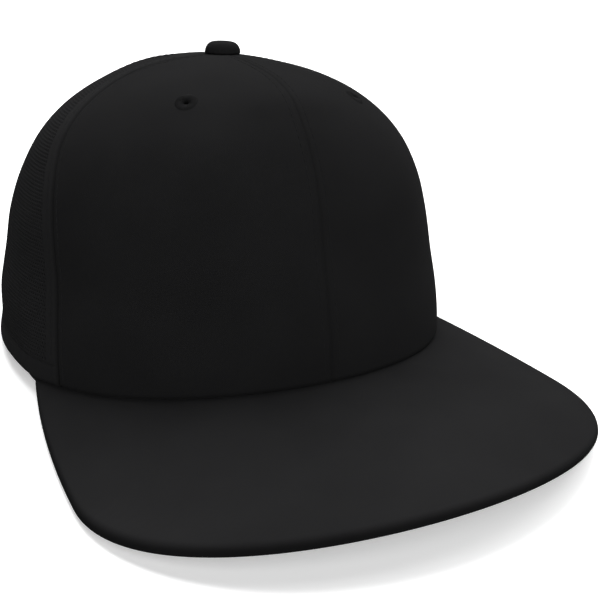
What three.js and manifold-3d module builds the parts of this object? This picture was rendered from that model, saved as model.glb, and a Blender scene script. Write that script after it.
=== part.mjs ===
// Six-panel baseball cap: plain cloth front panels, mesh side and back panels, a flat bill
// and an adjuster strap across an arched opening at the back.
// Millimetres, +Z up. The wearer would face -Y, and the wearer's left is +X.
// The cap stands on a table as it would by itself: on the sides of its bill and its back rim.

import * as THREE from 'three';
import { mergeVertices } from 'three/addons/utils/BufferGeometryUtils.js';
import Module from 'manifold-3d';

const wasm = await Module();
wasm.setup();

const { degToRad, radToDeg, lerp, smoothstep } = THREE.MathUtils;

// Crown
const HALF_WIDTH = 95.1;
const FRONT_REACH = 91.6;
const BACK_REACH = 102.1;
const CROWN_HEIGHT = 107.1;
const TOP_LEAN = 4.2;
const CLOTH_WALL = 2.0;
const MESH_WALL = 1.6;
const GAP = 0.3;

// Each section's height and its reach to the side, front and back, as shares of the sizes above
const SECTIONS = [
  { height: -0.14, side: 1.0, front: 1.0, back: 1.0 },
  { height: 0.0, side: 1.0, front: 1.0, back: 1.0 },
  { height: 0.14, side: 0.98, front: 0.984, back: 0.972 },
  { height: 0.29, side: 0.947, front: 0.948, back: 0.919 },
  { height: 0.44, side: 0.919, front: 0.907, back: 0.841 },
  { height: 0.585, side: 0.866, front: 0.872, back: 0.741 },
  { height: 0.72, side: 0.779, front: 0.806, back: 0.636 },
  { height: 0.83, side: 0.647, front: 0.719, back: 0.551 },
  { height: 0.915, side: 0.472, front: 0.608, back: 0.473 },
  { height: 0.97, side: 0.269, front: 0.396, back: 0.364 },
  { height: 1.0, side: 0.0, front: 0.0, back: 0.0 },
];
const BASE_ROW = 1;
const APEX_ROW = SECTIONS.length - 1;
const TOP_ROW = APEX_ROW - 0.15;

// Where the side and rear seams stand, in degrees from the middle of the front,
// at equal steps of rows from the base to the apex
const SEAM_ANGLES = [
  { side: 64.0, rear: 123.0 },
  { side: 68.6, rear: 126.5 },
  { side: 82.5, rear: 130.5 },
  { side: 97.0, rear: 134.0 },
];

// Rim, in angles from the middle of the front
const RIM_HEIGHT = -6.3;
const RIM_LEVEL_ANGLE = 88;
const TABLE_START_ANGLE = 117;
const TABLE_ANGLE = 134;
const HEM_LINE = 2.5;
const HEM_TUCK = 1.3;
const HEM_TUCK_TOP = 17;
const HEM_EDGE_SHARE = 0.3;
const HEM_FADE_ANGLE = 125;
const HEM_END_ANGLE = 143;

// Bill
const BILL_HALF_WIDTH = 99.1;
const BILL_WIDEST = 106.6;
const BILL_TIP = 171.5;
const BILL_SQUARENESS = 2.0;
const BILL_CORNER_ANGLE = 72.5;
const BILL_THICKNESS = 4.5;
const BILL_SLOPE = 0.04;
const BILL_ARCH = 9.8;
const BILL_ARCH_AT = 90;
const BILL_UNDER_WALL = 1.6;
const BILL_EDGE_SHARE = 0.45;

// The table that the cap stands on, as a plane through the rim's back corners
const REST_PITCH = 3.46;
const REST_CORNER = 89;
const REST_HEIGHT = -5.1;

// Button and eyelets
const BUTTON_RADIUS = 7.2;
const BUTTON_HEIGHT = 4.6;
const BUTTON_FULLNESS = 0.52;
const STEM_RADIUS = 2.2;
const STEM_LENGTH = 3.4;
const EYELET_ANGLE = 42;
const EYELET_ROW = BASE_ROW + 6.57;
const EYELET_RADIUS = 4.6;
const EYELET_HOLE = 1.9;
const EYELET_THICKNESS = 3.0;

// Sweatband
const BAND_THICKNESS = 1.5;
const BAND_HEIGHT = 32;
const BAND_DEPTH = CLOTH_WALL + GAP;
const BAND_END_ANGLE = 139.8;

// Arched opening at the back, its binding and the strap
const ARCH_HALF_WIDTH = 46;
const ARCH_LEG_TOP = 8;
const BINDING_WIDTH = 6;
const BINDING_PROUD = 0.8;
const STRAP_HALF_LENGTH = 59.5;
const STRAP_BOTTOM = -3.2;
const STRAP_HEIGHT = 20;
const STRAP_THICKNESS = 1.6;
const STRAP_DEPTH = MESH_WALL + GAP;
const LAP_FROM = -38;
const LAP_TO = 24;
const LAP_THICKNESS = 1.4;
const LAP_MARGIN = 1;
const LAP_ROUND_FROM = 0.85;
const LAP_ROUNDING = 0.8;
const STUD_RADIUS = 3.0;
const STUD_HEIGHT = 1.2;
const STUD_PITCH = 12;
const STUD_COUNT = 6;
const FIRST_STUD = -18;
const SPARE_HOLE = -30;
const SPARE_HOLE_RADIUS = 2.6;

// Mesh fineness
const PANEL_COLUMNS = 10;
const PANEL_ROWS = 14;
const ROW_CROWDING = 1.3;
const BILL_STATIONS = 48;
const BILL_COLUMNS = 6;
const EDGE_STEPS = 5;
const BAND_COLUMNS = 44;
const ARCH_STEPS = 24;
const STRAP_COLUMNS = 18;
const STRAP_ROWS = 2;
const BAND_ROWS = 3;
const BUTTON_STEPS = 8;
const EYELET_SIDES = 8;
const OUTLINE_STEPS = 60;
const SLOPE_STEP = 0.02;
const HALVINGS = 30;
const ROUND_SIDES = 24;

// Colours
const CLOTH = { color: 0x1b1b1c, roughness: 0.92, metalness: 0 };
const MESH_CLOTH = { color: 0x19191a, roughness: 0.85, metalness: 0 };
const BILL_CLOTH = { color: 0x202021, roughness: 0.9, metalness: 0 };
const THREAD = { color: 0x19191a, roughness: 0.7, metalness: 0 };
const BAND_CLOTH = { color: 0x18181a, roughness: 0.95, metalness: 0 };
const PLASTIC = { color: 0x1b1b1b, roughness: 0.45, metalness: 0 };

// Crown surface

function sectionCurve(side) {
  const rows = [...SECTIONS];
  const mirrored = SECTIONS[APEX_ROW - 1];
  rows.push({ height: mirrored.height, [side]: -mirrored[side] });
  return new THREE.SplineCurve(rows.map((row) => new THREE.Vector2(row[side], row.height)));
}

const sideCurve = sectionCurve('side');
const frontCurve = sectionCurve('front');
const backCurve = sectionCurve('back');
const seamCurves = {
  side: new THREE.SplineCurve(SEAM_ANGLES.map((row, i) => new THREE.Vector2(row.side, i))),
  rear: new THREE.SplineCurve(SEAM_ANGLES.map((row, i) => new THREE.Vector2(row.rear, i))),
};

// Behind the bill the wall draws in to the hem's stitch line, and stands out again below it
function hemTuck(angle, z) {
  const degrees = radToDeg(Math.abs(angle));
  const start = smoothstep(degrees, BILL_CORNER_ANGLE, RIM_LEVEL_ANGLE);
  const end = 1 - smoothstep(degrees, HEM_FADE_ANGLE, HEM_END_ANGLE);
  const above = 1 - smoothstep(z, HEM_LINE, HEM_TUCK_TOP);
  const below = lerp(HEM_EDGE_SHARE, 1, smoothstep(z, RIM_HEIGHT, HEM_LINE));
  return HEM_TUCK * start * end * above * below;
}

// A point of the crown's outside: angle from the middle of the front, row of the section table
function crownPoint(angle, row) {
  const along = row / SECTIONS.length;
  const side = sideCurve.getPoint(along);
  const reach = Math.cos(angle) > 0
    ? FRONT_REACH * frontCurve.getPoint(along).x
    : BACK_REACH * backCurve.getPoint(along).x;
  const z = CROWN_HEIGHT * side.y;
  const tuck = 1 - hemTuck(angle, z) / HALF_WIDTH;
  return new THREE.Vector3(
    HALF_WIDTH * side.x * Math.sin(angle) * tuck,
    -reach * Math.cos(angle) * tuck + TOP_LEAN * side.y,
    z,
  );
}

function crownNormal(angle, row) {
  const across = crownPoint(angle + SLOPE_STEP, row).sub(crownPoint(angle - SLOPE_STEP, row));
  const up = crownPoint(angle, row + SLOPE_STEP).sub(crownPoint(angle, row - SLOPE_STEP));
  return across.cross(up).normalize();
}

// A point of the wall at a depth below the outside
function wallPoint(angle, row, depth) {
  return crownPoint(angle, row).addScaledVector(crownNormal(angle, row), -depth);
}

function rowAtHeight(z) {
  let low = 0;
  let high = APEX_ROW;
  for (let i = 0; i < HALVINGS; i += 1) {
    const middle = (low + high) / 2;
    if (CROWN_HEIGHT * sideCurve.getPoint(middle / SECTIONS.length).y < z) low = middle;
    else high = middle;
  }
  return low;
}

// The seam's angle at a row, for a seam named front, side, rear or back
function seamAngle(seam, row) {
  if (seam === 'front') return 0;
  if (seam === 'back') return Math.PI;
  const share = Math.max(row - BASE_ROW, 0) / (APEX_ROW - BASE_ROW);
  return degToRad(seamCurves[seam].getPoint(share).x);
}

function billTop(x, y) {
  return BILL_SLOPE * (y + FRONT_REACH) - BILL_ARCH * (x / BILL_ARCH_AT) ** 2;
}

function tableHeight(y) {
  return REST_HEIGHT + (y - REST_CORNER) * Math.tan(degToRad(REST_PITCH));
}

// Height of the crown's lower edge: on the bill in front, level at the sides, on the table behind
function rimHeight(angle, x, y) {
  const degrees = radToDeg(Math.abs(angle));
  const pastBill = smoothstep(degrees, BILL_CORNER_ANGLE, RIM_LEVEL_ANGLE);
  const onTable = smoothstep(degrees, TABLE_START_ANGLE, TABLE_ANGLE);
  const level = lerp(billTop(x, y) + GAP, RIM_HEIGHT, pastBill);
  return lerp(level, tableHeight(y), onTable);
}

// Solids

// A geometry from points and triangles, with its faces turned outward
function bodyOf(points, triangles) {
  let volume = 0;
  const normal = new THREE.Vector3();
  for (const [a, b, c] of triangles) {
    volume += normal.crossVectors(points[b], points[c]).dot(points[a]);
  }
  const outward = volume > 0 ? triangles : triangles.map(([a, b, c]) => [a, c, b]);
  const geometry = new THREE.BufferGeometry();
  geometry.setFromPoints(points);
  geometry.setIndex(outward.flat());
  geometry.computeVertexNormals();
  return geometry;
}

// A closed sheet between an outer and an inner surface, each given by a column and a row share
function sheet(columns, rows, outer, inner) {
  const points = [];
  const triangles = [];
  const width = columns + 1;
  const layer = width * (rows + 1);
  for (const surface of [outer, inner]) {
    for (let j = 0; j <= rows; j += 1) {
      for (let i = 0; i <= columns; i += 1) points.push(surface(i / columns, j / rows));
    }
  }
  const quad = (a, b, c, d) => triangles.push([a, b, c], [a, c, d]);
  for (let j = 0; j < rows; j += 1) {
    for (let i = 0; i < columns; i += 1) {
      const a = j * width + i;
      quad(a, a + 1, a + width + 1, a + width);
      quad(a + layer, a + width + layer, a + width + 1 + layer, a + 1 + layer);
    }
  }
  for (let i = 0; i < columns; i += 1) {
    const top = rows * width + i;
    quad(i, i + layer, i + 1 + layer, i + 1);
    quad(top, top + 1, top + 1 + layer, top + layer);
  }
  for (let j = 0; j < rows; j += 1) {
    const left = j * width;
    const right = left + columns;
    quad(left, left + width, left + width + layer, left + layer);
    quad(right, right + layer, right + width + layer, right + width);
  }
  return bodyOf(points, triangles);
}

function toManifold(geometry) {
  const plain = geometry.clone();
  plain.deleteAttribute('normal');
  plain.deleteAttribute('uv');
  const merged = mergeVertices(plain, 1e-4);
  return new wasm.Manifold(new wasm.Mesh({
    numProp: 3,
    vertProperties: new Float32Array(merged.attributes.position.array),
    triVerts: new Uint32Array(merged.index.array),
  }));
}

function fromManifold(manifold) {
  const mesh = manifold.getMesh();
  const geometry = new THREE.BufferGeometry();
  geometry.setAttribute('position', new THREE.BufferAttribute(mesh.vertProperties, 3));
  geometry.setIndex(new THREE.BufferAttribute(mesh.triVerts, 1));
  geometry.computeVertexNormals();
  return geometry;
}

// A cylinder along a direction, centred on a point
function plug(centre, direction, radius, length) {
  const geometry = new THREE.CylinderGeometry(radius, radius, length, ROUND_SIDES);
  const turn = new THREE.Quaternion().setFromUnitVectors(new THREE.Vector3(0, 1, 0), direction);
  geometry.applyQuaternion(turn);
  geometry.translate(centre.x, centre.y, centre.z);
  return geometry;
}

// Crown panels

// One gore between two seams; hand is +1 on the wearer's left and -1 on the right
function panel(from, to, hand, wall) {
  const place = (across, up, depth) => {
    const baseAngle = lerp(seamAngle(from, BASE_ROW), seamAngle(to, BASE_ROW), across);
    const base = crownPoint(baseAngle, BASE_ROW);
    const bottomRow = rowAtHeight(rimHeight(baseAngle, base.x, base.y));
    const row = lerp(bottomRow, TOP_ROW, up ** ROW_CROWDING);
    const centre = crownPoint(lerp(seamAngle(from, row), seamAngle(to, row), across), row);
    const halfGap = GAP / 2 / Math.hypot(centre.x, centre.y - TOP_LEAN * centre.z / CROWN_HEIGHT);
    const start = seamAngle(from, row) + halfGap;
    const end = seamAngle(to, row) - halfGap;
    const angle = hand * lerp(start, end, across);
    const point = wallPoint(angle, row, depth);
    if (up === 0) point.z = rimHeight(angle, point.x, point.y);
    return point;
  };
  const outer = (across, up) => place(across, up, 0);
  const inner = (across, up) => place(across, up, wall);
  return sheet(PANEL_COLUMNS, PANEL_ROWS, outer, inner);
}

function frontPanel(hand) {
  const angle = hand * degToRad(EYELET_ANGLE);
  const centre = wallPoint(angle, EYELET_ROW, CLOTH_WALL / 2);
  const hole = plug(centre, crownNormal(angle, EYELET_ROW), EYELET_RADIUS + GAP, 5 * CLOTH_WALL);
  return fromManifold(toManifold(panel('front', 'side', hand, CLOTH_WALL)).subtract(toManifold(hole)));
}

function sidePanel(hand) {
  return panel('side', 'rear', hand, MESH_WALL);
}

// The arch's outline, grown sideways and upward by a margin, from its right foot to its left
function archPoint(share, margin) {
  const radius = ARCH_HALF_WIDTH + margin;
  const foot = tableHeight(REST_CORNER) + GAP;
  const leg = ARCH_LEG_TOP - foot;
  const bow = Math.PI * radius;
  const walked = share * (bow + 2 * leg);
  if (walked <= leg) return new THREE.Vector2(-radius, foot + walked);
  if (walked >= leg + bow) return new THREE.Vector2(radius, foot + bow + 2 * leg - walked);
  const turn = (walked - leg) / radius;
  return new THREE.Vector2(-radius * Math.cos(turn), ARCH_LEG_TOP + radius * Math.sin(turn));
}

function backPanel(hand) {
  const cut = new THREE.Shape();
  const margin = BINDING_WIDTH + GAP;
  cut.moveTo(-ARCH_HALF_WIDTH - margin, -2 * ARCH_HALF_WIDTH);
  for (let i = 0; i <= ARCH_STEPS; i += 1) {
    const point = archPoint(i / ARCH_STEPS, margin);
    cut.lineTo(point.x, point.y);
  }
  cut.lineTo(ARCH_HALF_WIDTH + margin, -2 * ARCH_HALF_WIDTH);
  const block = new THREE.ExtrudeGeometry(cut, { depth: 2 * BACK_REACH, bevelEnabled: false });
  block.rotateX(Math.PI / 2);
  block.translate(0, 2 * BACK_REACH, 0);
  return fromManifold(toManifold(panel('rear', 'back', hand, MESH_WALL)).subtract(toManifold(block)));
}

// Back of the cap: a wall point at a place across and a height, and the way out from there
function backPoint(x, z, depth) {
  const row = rowAtHeight(z);
  const reach = HALF_WIDTH * sideCurve.getPoint(row / SECTIONS.length).x;
  return wallPoint(Math.PI - Math.asin(x / reach), row, depth);
}

function backOutward(x, z) {
  return backPoint(x, z, 0).sub(backPoint(x, z, STRAP_DEPTH)).normalize();
}

function archBinding() {
  const place = (along, across, depth) => {
    const point = archPoint(along, BINDING_WIDTH * across);
    return backPoint(point.x, point.y, depth);
  };
  const outer = (along, across) => place(along, across, -BINDING_PROUD);
  const inner = (along, across) => place(along, across, MESH_WALL);
  return sheet(ARCH_STEPS, 1, outer, inner);
}

// Bill

// Half of the bill's outline, from the middle of its front edge to its corner on the crown
function billOutline() {
  const points = [];
  const corner = crownPoint(degToRad(BILL_CORNER_ANGLE), BASE_ROW);
  for (let i = 0; i <= OUTLINE_STEPS; i += 1) {
    const turn = (Math.PI / 2) * (i / OUTLINE_STEPS);
    const s = Math.sin(turn);
    const c = Math.cos(turn);
    const scale = (s ** BILL_SQUARENESS + c ** BILL_SQUARENESS) ** (-1 / BILL_SQUARENESS);
    points.push(new THREE.Vector3(
      BILL_HALF_WIDTH * s * scale,
      -BILL_WIDEST - (BILL_TIP - BILL_WIDEST) * c * scale,
      0,
    ));
  }
  for (let i = 1; i <= OUTLINE_STEPS; i += 1) {
    const share = i / OUTLINE_STEPS;
    points.push(new THREE.Vector3(
      lerp(BILL_HALF_WIDTH, corner.x, share ** 2),
      lerp(-BILL_WIDEST, corner.y, share),
      0,
    ));
  }
  const path = new THREE.CurvePath();
  for (let i = 1; i < points.length; i += 1) path.add(new THREE.LineCurve3(points[i - 1], points[i]));
  return path;
}

function bill() {
  const outline = billOutline();
  const radius = BILL_THICKNESS / 2;
  const points = [];
  const triangles = [];
  const ring = 2 * BILL_COLUMNS + EDGE_STEPS + 1;
  const put = (x, y, drop) => points.push(new THREE.Vector3(x, y, billTop(x, y) - drop));
  for (let i = 0; i <= BILL_STATIONS; i += 1) {
    const share = (2 * i) / BILL_STATIONS - 1;
    const hand = Math.sign(share) || 1;
    const start = wallPoint(share * degToRad(BILL_CORNER_ANGLE), BASE_ROW, BILL_UNDER_WALL);
    const end = outline.getPointAt(Math.abs(share));
    end.x *= hand;
    const reach = end.clone().sub(start).setZ(0);
    const length = reach.length();
    const edge = Math.min(radius, BILL_EDGE_SHARE * length);
    const ahead = reach.clone().normalize();
    const walk = (distance, drop) => put(start.x + ahead.x * distance, start.y + ahead.y * distance, drop);
    for (let j = 0; j < BILL_COLUMNS; j += 1) walk(((length - edge) * j) / BILL_COLUMNS, 0);
    for (let j = 0; j <= EDGE_STEPS; j += 1) {
      const turn = (Math.PI * j) / EDGE_STEPS;
      walk(length - edge + edge * Math.sin(turn), radius - radius * Math.cos(turn));
    }
    for (let j = BILL_COLUMNS - 1; j >= 0; j -= 1) {
      walk(((length - edge) * j) / BILL_COLUMNS, BILL_THICKNESS);
    }
  }
  for (let i = 0; i < BILL_STATIONS; i += 1) {
    for (let j = 0; j < ring; j += 1) {
      const a = i * ring + j;
      const b = i * ring + ((j + 1) % ring);
      triangles.push([a, b, b + ring], [a, b + ring, a + ring]);
    }
  }
  const last = BILL_STATIONS * ring;
  for (let j = 0; j < ring / 2 - 1; j += 1) {
    const k = ring - 1 - j;
    triangles.push([j, k, k - 1], [last + j, last + k - 1, last + k]);
    if (k - 1 > j + 1) triangles.push([j, k - 1, j + 1], [last + j, last + j + 1, last + k - 1]);
  }
  return bodyOf(points, triangles);
}

// Small parts

function topButton() {
  const profile = [new THREE.Vector2(0, -STEM_LENGTH), new THREE.Vector2(STEM_RADIUS, -STEM_LENGTH)];
  profile.push(new THREE.Vector2(STEM_RADIUS, GAP));
  for (let i = 0; i < BUTTON_STEPS; i += 1) {
    const turn = (Math.PI / 2) * (i / BUTTON_STEPS);
    profile.push(new THREE.Vector2(
      BUTTON_RADIUS * Math.cos(turn) ** BUTTON_FULLNESS,
      GAP + BUTTON_HEIGHT * Math.sin(turn),
    ));
  }
  profile.push(new THREE.Vector2(0, GAP + BUTTON_HEIGHT));
  const geometry = new THREE.LatheGeometry(profile, ROUND_SIDES);
  geometry.rotateX(Math.PI / 2);
  return geometry;
}

function eyelet() {
  const profile = [];
  const middle = (EYELET_RADIUS + EYELET_HOLE) / 2;
  const half = (EYELET_RADIUS - EYELET_HOLE) / 2;
  for (let i = 0; i <= EYELET_SIDES; i += 1) {
    const turn = (2 * Math.PI * (i % EYELET_SIDES)) / EYELET_SIDES;
    profile.push(new THREE.Vector2(middle + half * Math.cos(turn), (EYELET_THICKNESS / 2) * Math.sin(turn)));
  }
  return new THREE.LatheGeometry(profile, ROUND_SIDES);
}

function sweatband() {
  const place = (across, up, depth) => {
    const angle = degToRad(lerp(-BAND_END_ANGLE, BAND_END_ANGLE, across));
    const base = wallPoint(angle, BASE_ROW, depth);
    const drop = smoothstep(Math.abs(angle), degToRad(BILL_CORNER_ANGLE), degToRad(RIM_LEVEL_ANGLE));
    const bottom = rimHeight(angle, base.x, base.y) + lerp(-BILL_THICKNESS, GAP, drop);
    const top = RIM_HEIGHT + BAND_HEIGHT;
    const z = lerp(bottom, top, up);
    const point = wallPoint(angle, rowAtHeight(z), depth);
    point.z = z;
    return point;
  };
  const outer = (across, up) => place(across, up, BAND_DEPTH);
  const inner = (across, up) => place(across, up, BAND_DEPTH + BAND_THICKNESS);
  return sheet(BAND_COLUMNS, BAND_ROWS, outer, inner);
}

// The fastened strap: the two straps and the studs that hold them, as one plain piece
function snapStrap() {
  const middle = STRAP_BOTTOM + STRAP_HEIGHT / 2;
  const bandPlace = (across, up, depth) => {
    const x = lerp(-STRAP_HALF_LENGTH, STRAP_HALF_LENGTH, across);
    return backPoint(x, STRAP_BOTTOM + STRAP_HEIGHT * up, depth);
  };
  const band = sheet(
    STRAP_COLUMNS,
    STRAP_ROWS,
    (across, up) => bandPlace(across, up, STRAP_DEPTH),
    (across, up) => bandPlace(across, up, STRAP_DEPTH + STRAP_THICKNESS),
  );
  const lapPlace = (across, up, depth) => {
    const half = STRAP_HEIGHT / 2 - LAP_MARGIN;
    const pastRound = Math.max(0, (across - LAP_ROUND_FROM) / (1 - LAP_ROUND_FROM));
    const height = half * Math.sqrt(1 - LAP_ROUNDING * pastRound ** 2);
    return backPoint(lerp(LAP_FROM, LAP_TO, across), middle + lerp(-height, height, up), depth);
  };
  const lap = sheet(
    STRAP_COLUMNS,
    STRAP_ROWS,
    (across, up) => lapPlace(across, up, STRAP_DEPTH - LAP_THICKNESS),
    (across, up) => lapPlace(across, up, STRAP_DEPTH + STRAP_THICKNESS / 2),
  );
  let strap = toManifold(band).add(toManifold(lap));
  for (let i = 0; i < STUD_COUNT; i += 1) {
    const x = FIRST_STUD + i * STUD_PITCH;
    const lift = x < LAP_TO ? LAP_THICKNESS : 0;
    const foot = backPoint(x, middle, STRAP_DEPTH - lift);
    const stud = plug(foot, backOutward(x, middle), STUD_RADIUS, 2 * STUD_HEIGHT);
    strap = strap.add(toManifold(stud));
  }
  const hole = plug(
    backPoint(SPARE_HOLE, middle, STRAP_DEPTH),
    backOutward(SPARE_HOLE, middle),
    SPARE_HOLE_RADIUS,
    4 * (STRAP_THICKNESS + LAP_THICKNESS),
  );
  return fromManifold(strap.subtract(toManifold(hole)));
}

// The cap

const cap = new THREE.Group();

function add(name, geometry, finish) {
  const mesh = new THREE.Mesh(geometry, new THREE.MeshStandardMaterial(finish));
  mesh.name = name;
  cap.add(mesh);
  return mesh;
}

for (const [side, hand] of [['right', -1], ['left', 1]]) {
  add(`front_panel_${side}`, frontPanel(hand), CLOTH);
  add(`side_panel_${side}`, sidePanel(hand), MESH_CLOTH);
  add(`back_panel_${side}`, backPanel(hand), MESH_CLOTH);
  const ring = add(`eyelet_${side}`, eyelet(), THREAD);
  const angle = hand * degToRad(EYELET_ANGLE);
  ring.position.copy(wallPoint(angle, EYELET_ROW, CLOTH_WALL / 2));
  ring.quaternion.setFromUnitVectors(new THREE.Vector3(0, 1, 0), crownNormal(angle, EYELET_ROW));
}
add('bill', bill(), BILL_CLOTH);
add('top_button', topButton(), CLOTH).position.set(0, TOP_LEAN, CROWN_HEIGHT);
add('sweatband', sweatband(), BAND_CLOTH);
add('arch_binding', archBinding(), CLOTH);
add('snap_strap', snapStrap(), PLASTIC);

// Stand the cap on the table, with the origin under the middle of its bounding box
const stand = new THREE.Group();
cap.rotation.x = -degToRad(REST_PITCH);
stand.add(cap);
stand.updateMatrixWorld(true);
const bounds = new THREE.Box3().setFromObject(cap, true);
stand.position.set(0, -(bounds.min.y + bounds.max.y) / 2, -bounds.min.z);

export default stand;
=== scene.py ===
# Looks of a black six-panel baseball cap: cloth front, mesh sides and back, flat bill.
# The sizes below are the part's own, in millimetres, in the cap's frame: the wearer faces -Y and
# the base of the crown is at height 0. to_rest() turns them to the shared frame, in metres.
import math

import bpy
import numpy as np
from mathutils import Matrix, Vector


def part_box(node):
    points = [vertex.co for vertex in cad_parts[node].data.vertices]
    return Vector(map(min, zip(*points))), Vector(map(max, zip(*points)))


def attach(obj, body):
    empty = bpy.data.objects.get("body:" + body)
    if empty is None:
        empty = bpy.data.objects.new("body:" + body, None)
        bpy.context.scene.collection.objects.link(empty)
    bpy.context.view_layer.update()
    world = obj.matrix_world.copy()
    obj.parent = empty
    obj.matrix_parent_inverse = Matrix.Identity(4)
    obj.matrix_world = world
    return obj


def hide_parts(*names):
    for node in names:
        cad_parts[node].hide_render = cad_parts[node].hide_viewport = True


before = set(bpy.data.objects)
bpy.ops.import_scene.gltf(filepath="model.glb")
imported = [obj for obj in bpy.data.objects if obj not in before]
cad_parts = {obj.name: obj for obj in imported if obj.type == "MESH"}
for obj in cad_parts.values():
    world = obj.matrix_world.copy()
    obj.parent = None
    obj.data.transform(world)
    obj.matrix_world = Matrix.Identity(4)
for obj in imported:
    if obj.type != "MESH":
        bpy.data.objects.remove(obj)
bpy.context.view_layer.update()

MM = 0.001

# Crown sizes
HALF_WIDTH = 95.1
FRONT_REACH = 91.6
BACK_REACH = 102.1
CROWN_HEIGHT = 107.1
TOP_LEAN = 4.2
CLOTH_WALL = 2.0
MESH_WALL = 1.6
GAP = 0.3

# Each section's height and its reach to the side, front and back, as shares of the sizes above
SECTION_COLUMNS = ("height", "side", "front", "back")
SECTIONS = np.array([
    (-0.14, 1.0, 1.0, 1.0),
    (0.0, 1.0, 1.0, 1.0),
    (0.14, 0.98, 0.984, 0.972),
    (0.29, 0.947, 0.948, 0.919),
    (0.44, 0.919, 0.907, 0.841),
    (0.585, 0.866, 0.872, 0.741),
    (0.72, 0.779, 0.806, 0.636),
    (0.83, 0.647, 0.719, 0.551),
    (0.915, 0.472, 0.608, 0.473),
    (0.97, 0.269, 0.396, 0.364),
    (1.0, 0.0, 0.0, 0.0),
])
BASE_ROW = 1
APEX_ROW = len(SECTIONS) - 1
TOP_ROW = APEX_ROW - 0.15

# Where the seams stand, in degrees from the middle of the front, from the base to the apex
SEAM_ANGLES = {
    "front": (0.0, 0.0, 0.0, 0.0),
    "side": (64.0, 68.6, 82.5, 97.0),
    "rear": (123.0, 126.5, 130.5, 134.0),
    "back": (180.0, 180.0, 180.0, 180.0),
}

# Rim
RIM_HEIGHT = -6.3
RIM_LEVEL_ANGLE = 88
TABLE_START_ANGLE = 117
TABLE_ANGLE = 134
HEM_LINE = 2.5
HEM_TUCK = 1.3
HEM_TUCK_TOP = 17
HEM_EDGE_SHARE = 0.3
HEM_FADE_ANGLE = 125
HEM_END_ANGLE = 143

# Bill
BILL_HALF_WIDTH = 99.1
BILL_WIDEST = 106.6
BILL_TIP = 171.5
BILL_SQUARENESS = 2.0
BILL_CORNER_ANGLE = 72.5
BILL_THICKNESS = 4.5
BILL_SLOPE = 0.04
BILL_ARCH = 9.8
BILL_ARCH_AT = 90
BILL_UNDER_WALL = 1.6
BILL_EDGE_SHARE = 0.45

# Standing on the table
REST_PITCH = 3.46
REST_CORNER = 89
REST_HEIGHT = -5.1

# Small parts
BUTTON_RADIUS = 7.2
BUTTON_HEIGHT = 4.6
STEM_RADIUS = 2.2
STEM_LENGTH = 3.4
EYELET_ANGLE = 42
EYELET_ROW = BASE_ROW + 6.57
EYELET_RADIUS = 4.6
EYELET_HOLE = 0.9
EYELET_THICKNESS = 3.0
BAND_THICKNESS = 1.5
BAND_HEIGHT = 32
BAND_DEPTH = CLOTH_WALL + GAP
BAND_END_ANGLE = 139.8
ARCH_HALF_WIDTH = 46
ARCH_LEG_TOP = 8
BINDING_WIDTH = 6
BINDING_PROUD = 0.8
STRAP_HALF_LENGTH = 59.5
STRAP_BOTTOM = -3.2
STRAP_HEIGHT = 20
STRAP_THICKNESS = 1.6
STRAP_DEPTH = MESH_WALL + GAP
LAP_FROM = -38
LAP_TO = 24
LAP_THICKNESS = 1.4
LAP_MARGIN = 1
LAP_ROUND_FROM = 0.85
LAP_ROUNDING = 0.8
STUD_RADIUS = 3.0
STUD_HEIGHT = 1.2
STUD_PITCH = 12
STUD_COUNT = 6
FIRST_STUD = -18
SPARE_HOLE = -30
SPARE_HOLE_RADIUS = 2.6

# Cloth details
SEAM_DEPTHS = {"front": 0.3, "side": 1.0, "rear": 0.7, "back": 0.6}
SEAM_WIDTHS = {"front": 0.5, "side": 0.85, "rear": 0.7, "back": 0.6}
SEAM_PUFF = 0.06
SEAM_PUFF_AT = 1.7
SEAM_PUFF_WIDTH = 0.8
# How far from a seam the painted shade in its crease reaches
CREASE_WIDTH = 1.1
NARROW_WIDTH = 18
NARROW_SHARE = 0.25
RIM_ROLL = 0.8
HEM_BULGE = 0.1
HEM_BULGE_RISE = 2
HEM_BULGE_FALL = 1.5
HEM_DIP = 0.35
HEM_DIP_WIDTH = 0.6
SOFT_WAVES = 0.25
SOFT_EDGE = 12
TOPSTITCH = 3.0
STITCH_DIP = 0.04
STITCH_DIP_WIDTH = 0.55
HEM_STITCH = 8.0
HEM_TOP = HEM_STITCH + 1
FRONT_STITCH_START = 1.0
STITCH_LIFT = 0.05
STITCH_CLEAR = 1.0
STITCH_NARROW = 5 * TOPSTITCH
STITCH_PITCH = 3.0
STITCH_LENGTH = 2.3
STITCH_RADIUS = 0.15
STITCH_SIDES = 6
MESH_PITCH = 1.6
MESH_HOLE = 0.38
MESH_BORDER = 6.0
MESH_SHEET = 0.95
MESH_SINK = 0.12
MESH_BAR_ROUNDING = 0.2
MESH_NARROW = 3.4 * MESH_BORDER
NET_NARROW = MESH_NARROW - 2 * MESH_PITCH
BORDER_WALL = MESH_WALL - 0.2
EDGE_NARROW = 3.2 * MESH_BORDER

# The cloth's slow waves: how long each is along the three axes, where it starts, and its share
CLOTH_WAVES = (
    (17, math.inf, 23, 0.7, 1.0),
    (math.inf, 19, -15, 2.1, 1.0),
    (9.5, 9.5, 11, 4.0, 0.6),
)

# A stitch's form, as shares of its length along the row, of its lift and of its radius
STITCH_FORM = np.array([
    (-0.5, -0.9, 0.55),
    (-0.36, 0.2, 0.95),
    (0.0, 1.0, 1.0),
    (0.36, 0.2, 0.95),
    (0.5, -0.9, 0.55),
])

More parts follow.
